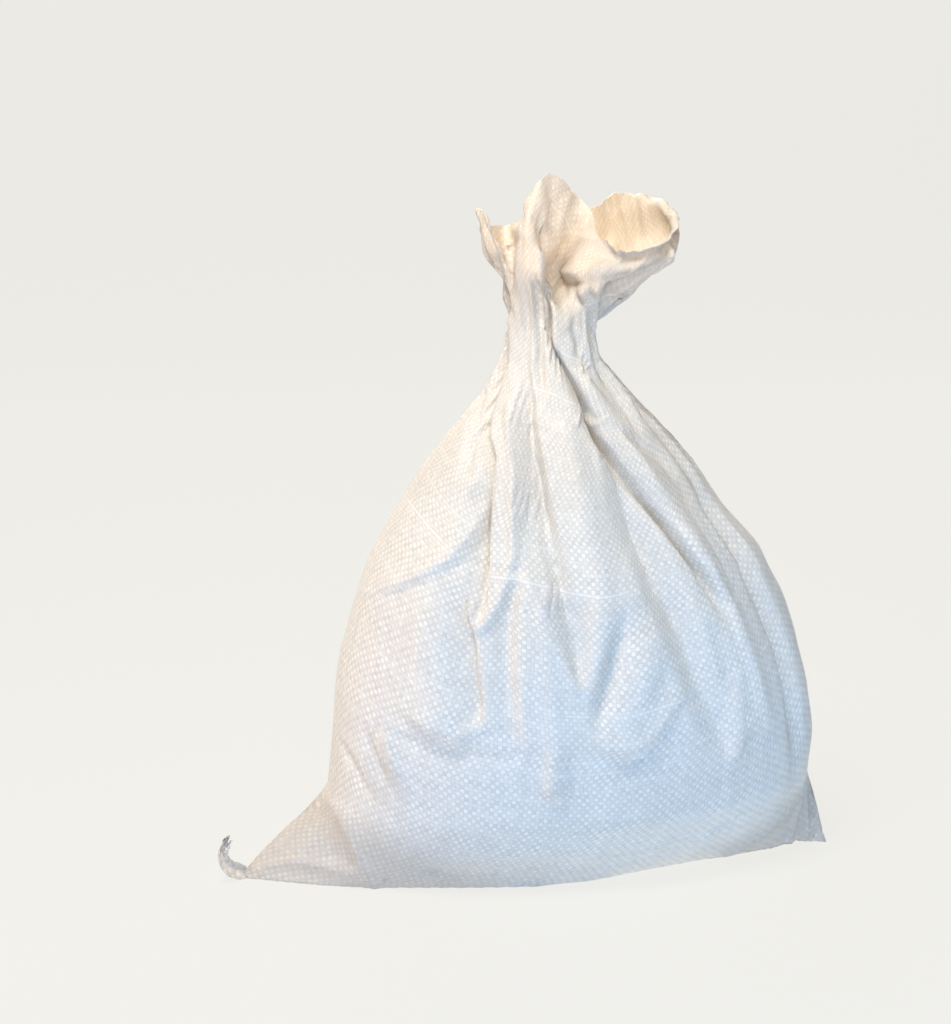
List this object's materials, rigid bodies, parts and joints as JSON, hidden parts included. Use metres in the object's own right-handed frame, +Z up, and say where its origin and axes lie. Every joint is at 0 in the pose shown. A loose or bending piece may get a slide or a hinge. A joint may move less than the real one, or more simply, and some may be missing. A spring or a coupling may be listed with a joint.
{
  "type": "rubble sack",
  "caption": "Filled woven sack standing on its flat sewn bottom, with corner ears, a gathered neck and an open, flared, frilled mouth.",
  "frame": {"origin": "middle of the flat base, on the surface that the sack stands on", "axes": "+Z up, +X along the bottom seam to the right as seen from the front, -Y to the front"},
  "size_m": [0.483, 0.221, 0.5485],
  "materials": {
    "sack": "satin woven polypropylene tapes",
    "fill": "rough loose rubble"
  },
  "bodies": {
    "root": {"sack": "sack", "fill": "fill"}
  },
  "joints": []
}
